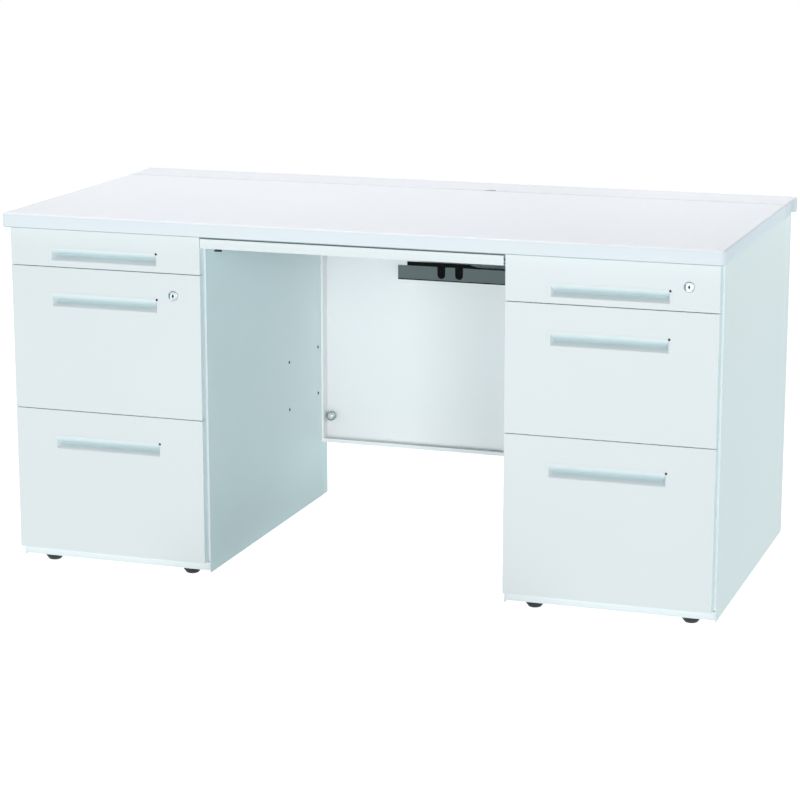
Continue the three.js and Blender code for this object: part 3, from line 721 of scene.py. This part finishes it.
def build_hole_plugs(side):
    """Black plugs in the four holes of the cabinet's side towards the knee space."""
    low, high = node_box(side + "_inner_side")
    face, outward = (low[0], -1) if side == "right" else (high[0], 1)
    plugs = Shape()
    for y in HOLE_Y:
        for z in HOLE_Z:
            profile = [(0.3, -outward * 1.6), (2.2, -outward * 1.6), (2.2, 0), (3.4, 0),
                       (3.2, outward * 0.5), (2.2, outward * 0.9), (0.3, outward)]
            plugs.lathe(profile, (face, y, z), "x", 24)
    plugs.piece(side + "_hole_plugs", black, "desk_frame")


worn_zinc = zinc_plate("worn_zinc", WORN_ZINC)
# Black plastic, which also stands in for the shade inside the tray and along its edges.
black_and_painted_shade = moulded_plastic("black_plastic_and_painted_shade", COMB_AND_SHADE_BLACK, 0.75, specular=0.08)
for side in SIDES:
    build_modesty_bolt(side)
    build_hole_plugs(side)
build_tray_comb()
build_tray_shade_edging()
build_beam_buffer()
build_flap_seal()


# ---- Inside the drawers and at the back ----------------------------------------------------------

FRONT_INSET = 1.3               # from a cabinet's left edge to its drawer fronts
BOX_WALLS = (27.5, 371.0)       # the drawer boxes' outer walls, from the same edge


def box_walls(drawer):
    """The drawer box's low and high corners, without the running members beside it."""
    low, high = node_box(drawer + "_box")
    cabinet_left = node_box(drawer + "_front")[0][0] - FRONT_INSET
    low[0], high[0] = (cabinet_left + wall for wall in BOX_WALLS)
    return low, high


def build_box_rim(drawer):
    """The rolled top edge of a drawer box."""
    low, high = box_walls(drawer)
    radius = 1.5
    inset = 0.5
    top = high[2] + 0.4
    corners = [(low[0] + inset, low[1] + inset), (high[0] - inset, low[1] + inset),
               (high[0] - inset, high[1] - inset), (low[0] + inset, high[1] - inset)]
    rim = Shape()
    for (x0, y0), (x1, y1) in zip(corners, corners[1:] + corners[:1]):
        rim.wire([(x0, y0, top), (x1, y1, top)], radius)
    rim.piece(drawer + "_rim", materials["steel_paint"], drawer)


def build_pen_tray(drawer):
    """A moulded insert at the front of a shallow drawer, with five compartments."""
    low, high = box_walls(drawer)
    left, right = low[0] + 2.0, high[0] - 2.0
    front, back = low[1] + 12.0, low[1] + 138.0
    bottom, top = low[2] + 1.4, low[2] + 24.0
    wall = 1.8
    tray = Shape()
    tray.box(left, right, front, back, bottom, bottom + 1.6)
    tray.box(left, left + wall, front, back, bottom + 0.1, top)
    tray.box(right - wall, right, front, back, bottom + 0.1, top)
    tray.box(left + 0.1, right - 0.1, front - 0.1, front + wall, bottom + 0.2, top - 0.2)
    tray.box(left + 0.1, right - 0.1, back - wall, back + 0.1, bottom + 0.2, top - 0.2)
    walls = [left + (right - left) * share for share in (0.18, 0.36, 0.8)]
    for x in walls:
        tray.box(x, x + wall, front + 0.3, back - 0.3, bottom + 0.3, top - 2.0)
    middle = (front + back) / 2
    tray.box(walls[1] + 0.4, walls[2] + wall - 0.4, middle, middle + wall, bottom + 0.4, top - 3.0)
    tray.piece(drawer + "_pen_tray", materials["cap_plastic"], drawer, 0.4)


ROD_INSET = 14.0                # the file rods, from the drawer box's side walls
ROD_DROP = 9.0                  # and below its rim
FOLLOWER_INSET = 24.0           # the follower plate's ends, from the side walls
FOLLOWER_SETBACK = 90.0         # its place, in front of the box's back


def build_file_fittings(drawer):
    """Two rods for hanging folders in a deep drawer, and a bent plate that stands behind the folders."""
    low, high = box_walls(drawer)
    height = high[2] - ROD_DROP
    flange = [(0.3, 0), (5.5, 0), (5.5, 1.4), (4.9, 2.0), (0.3, 2.0)]
    rods = Shape()
    for x in (low[0] + ROD_INSET, high[0] - ROD_INSET):
        rods.wire([(x, low[1] + 1.2, height), (x, high[1] - 1.2, height)], 2.4, 16)
        for y in (low[1] + 1.2, high[1] - 3.2):
            rods.lathe(flange, (x, y, height), "y", 24)
    rods.piece(drawer + "_file_rods", materials["zinc_steel"], drawer)
    follower = Shape()
    y = high[1] - FOLLOWER_SETBACK
    left, right = low[0] + FOLLOWER_INSET, high[0] - FOLLOWER_INSET
    follower.box(left, right, y, y + 1.2, low[2] + 1.3, high[2] - 30.0)
    follower.box(left, right, y + 0.2, y + 60.0, low[2] + 1.2, low[2] + 2.4)
    follower.wire([(left, y + 0.6, high[2] - 29.6), (right, y + 0.6, high[2] - 29.6)], 1.8)
    follower.piece(drawer + "_follower", materials["zinc_steel"], drawer, 0.2)


# The head of a pan-headed screw, with a round dish in it.
SCREW_HEAD = [(0.3, 0), (3.6, 0), (3.6, 0.7), (3.2, 1.5), (2.3, 2.0), (1.4, 2.1), (1.1, 1.5),
              (0.3, 1.4)]
SCREW_Z = (60.0, 250.0, 440.0, 630.0)
SCREW_INSET = 5.7               # from the back panel's edges


def build_back_screws(side):
    """Screws down the two rear flanges of a cabinet."""
    low, high = node_box(side + "_back_panel")
    rear = node_box(side + "_inner_side")[1][1]
    screws = Shape()
    for x in (low[0] + SCREW_INSET, high[0] - SCREW_INSET):
        for z in SCREW_Z:
            screws.lathe(SCREW_HEAD, (x, rear, z), "y", 28)
    screws.piece(side + "_back_screws", materials["zinc_steel"], "desk_frame")


for side in SIDES:
    build_back_screws(side)
    build_pen_tray(f"{side}_top_drawer")
    for row in ROWS:
        build_box_rim(f"{side}_{row}_drawer")
for side in SIDES:
    for row in DEEP_ROWS:
        build_file_fittings(f"{side}_{row}_drawer")


# ---- Studio: floor, light and camera ------------------------------------------------------------

BACKDROP = 1.05                 # the white room's brightness for the camera
PAPER_GLOW = 0.97               # the same for the floor, on top of the light that falls on it
SKY = 0.06                      # what the white room gives the object from all round
FLOOR_GLOW = 0.95               # what the lit floor gives the object from below
FLOOR_TINT = (0.82, 1.0, 1.02)
SHADED_FLOOR = 0.35             # the share of that glow that is left on the floor of the knee space
# Each softbox: where it stands, what it faces, its width and height, its power in watts, its colour.
SOFTBOXES = {
    "front": ((-0.6, -6.5, 0.75), (0.0, 0.0, 0.45), (3.0, 1.3), 165, (1.0, 1.0, 1.0)),
    "overhead": ((-0.4, 0.6, 3.6), (0.0, 0.0, 0.5), (3.4, 2.6), 131, (1.0, 1.0, 1.0)),
    "right": ((4.2, 0.8, 1.5), (0.0, 0.0, 0.4), (2.6, 2.0), 18, (0.9, 1.0, 1.0)),
    "left": ((-4.2, 0.4, 1.6), (0.0, 0.0, 0.4), (2.6, 2.0), 45, (0.95, 1.0, 1.0)),
    "back": ((0.3, 4.8, 0.6), (0.0, 0.0, 0.45), (2.2, 1.1), 48, (0.97, 1.0, 1.0)),
}
# The key light shines evenly from the right of the front.
KEY_FROM = (5.4, -9.2, 1.4)
KEY_STRENGTH = 1.0
KEY_ANGLE = math.radians(22)    # how wide it looks, which softens its shadows
# The floor's glow is weaker under the desk: the X and the Y distance from the middle where it starts
# to rise, and where it is full.
KNEE_SHADE = {"X": (0.2, 0.42), "Y": (0.2, 0.6)}
CAMERA_PLACE = (1.562, -4.648, 1.416)
CAMERA_PITCH, CAMERA_YAW = 0.222, 0.327     # down, and to the left, in radians
CAMERA_LENS = 114.0             # millimetres, on a sensor 36 mm wide


def split_by_ray(tree, for_camera, for_object, output):
    """The room looks evenly white to the camera, while the object gets a softer light from it."""
    ray = tree.nodes.new("ShaderNodeLightPath")
    mix = tree.nodes.new("ShaderNodeMixShader")
    tree.links.new(ray.outputs["Is Camera Ray"], mix.inputs["Fac"])
    tree.links.new(for_object, mix.inputs[1])
    tree.links.new(for_camera, mix.inputs[2])
    tree.links.new(mix.outputs["Shader"], output)


def floor_strength(paper):
    """The floor's glow, which the desk's own shade weakens in the knee space."""
    split = paper.tree.nodes.new("ShaderNodeSeparateXYZ")
    paper.link(paper.coordinates.outputs["Object"], split.inputs["Vector"])
    outside = paper.tree.nodes.new("ShaderNodeMath")
    outside.operation = "MAXIMUM"
    for index, (axis, (near, far)) in enumerate(KNEE_SHADE.items()):
        distance = paper.tree.nodes.new("ShaderNodeMath")
        distance.operation = "ABSOLUTE"
        paper.link(split.outputs[axis], distance.inputs[0])
        spread = paper.tree.nodes.new("ShaderNodeMapRange")
        spread.inputs["From Min"].default_value = near
        spread.inputs["From Max"].default_value = far
        paper.link(distance.outputs["Value"], spread.inputs["Value"])
        paper.link(spread.outputs["Result"], outside.inputs[index])
    strength = paper.tree.nodes.new("ShaderNodeMapRange")
    strength.inputs["To Min"].default_value = FLOOR_GLOW * SHADED_FLOOR
    strength.inputs["To Max"].default_value = FLOOR_GLOW
    paper.link(outside.outputs["Value"], strength.inputs["Value"])
    return strength.outputs["Result"]


def build_floor():
    """A sheet of pale paper that looks white to the camera and glows softly for the desk."""
    reach = 60.0
    mesh = bpy.data.meshes.new("floor")
    corners = [(-reach, -reach, 0), (reach, -reach, 0), (reach, reach, 0), (-reach, reach, 0)]
    mesh.from_pydata(corners, [], [(0, 1, 2, 3)])
    floor = bpy.data.objects.new("floor", mesh)
    bpy.context.scene.collection.objects.link(floor)
    paper = Material("white_paper", specular=0.0)
    paper.colour(paper.ramp(paper.noise(2), (0.28, 0.28, 0.28), (0.3, 0.3, 0.3)))
    paper.shader.inputs["Roughness"].default_value = 1.0
    paper.shader.inputs["Emission Color"].default_value = (1, 1, 1, 1)
    paper.shader.inputs["Emission Strength"].default_value = PAPER_GLOW
    glow = paper.tree.nodes.new("ShaderNodeEmission")
    glow.inputs["Color"].default_value = (*FLOOR_TINT, 1)
    paper.link(floor_strength(paper), glow.inputs["Strength"])
    output = paper.tree.nodes["Material Output"].inputs["Surface"]
    split_by_ray(paper.tree, paper.shader.outputs["BSDF"], glow.outputs["Emission"], output)
    mesh.materials.append(paper.material)


def build_world():
    """A white room."""
    world = bpy.data.worlds.new("studio")
    world.use_nodes = True
    tree = world.node_tree
    wall = tree.nodes["Background"]
    wall.inputs["Color"].default_value = (1, 1, 1, 1)
    wall.inputs["Strength"].default_value = BACKDROP
    sky = tree.nodes.new("ShaderNodeBackground")
    sky.inputs["Color"].default_value = (1, 1, 1, 1)
    sky.inputs["Strength"].default_value = SKY
    output = tree.nodes["World Output"].inputs["Surface"]
    split_by_ray(tree, wall.outputs["Background"], sky.outputs["Background"], output)
    bpy.context.scene.world = world


def add_softbox(name, place, target, size, watts, colour):
    """A rectangular area light that faces a target."""
    light = bpy.data.lights.new(name, "AREA")
    light.shape = "RECTANGLE"
    light.size, light.size_y = size
    light.energy = watts
    light.color = colour
    lamp = bpy.data.objects.new(name, light)
    lamp.location = place
    lamp.rotation_euler = (Vector(target) - Vector(place)).to_track_quat("-Z", "Y").to_euler()
    bpy.context.scene.collection.objects.link(lamp)


def add_key():
    """A low sun."""
    light = bpy.data.lights.new("key", "SUN")
    light.energy = KEY_STRENGTH
    light.angle = KEY_ANGLE
    lamp = bpy.data.objects.new("key", light)
    lamp.location = KEY_FROM
    lamp.rotation_euler = (-Vector(KEY_FROM)).to_track_quat("-Z", "Y").to_euler()
    bpy.context.scene.collection.objects.link(lamp)


def build_camera():
    """The camera at the right of the desk's front, above the height of its top."""
    camera = bpy.data.cameras.new("camera")
    camera.sensor_width = 36.0
    camera.lens = CAMERA_LENS
    holder = bpy.data.objects.new("camera", camera)
    holder.location = CAMERA_PLACE
    holder.rotation_euler = (math.pi / 2 - CAMERA_PITCH, 0, CAMERA_YAW)
    bpy.context.scene.collection.objects.link(holder)
    bpy.context.scene.camera = holder


build_floor()
build_world()
for softbox, settings in SOFTBOXES.items():
    add_softbox(softbox, *settings)
add_key()
build_camera()
bpy.context.scene.view_settings.view_transform = "Standard"
bpy.context.scene.view_settings.look = "None"
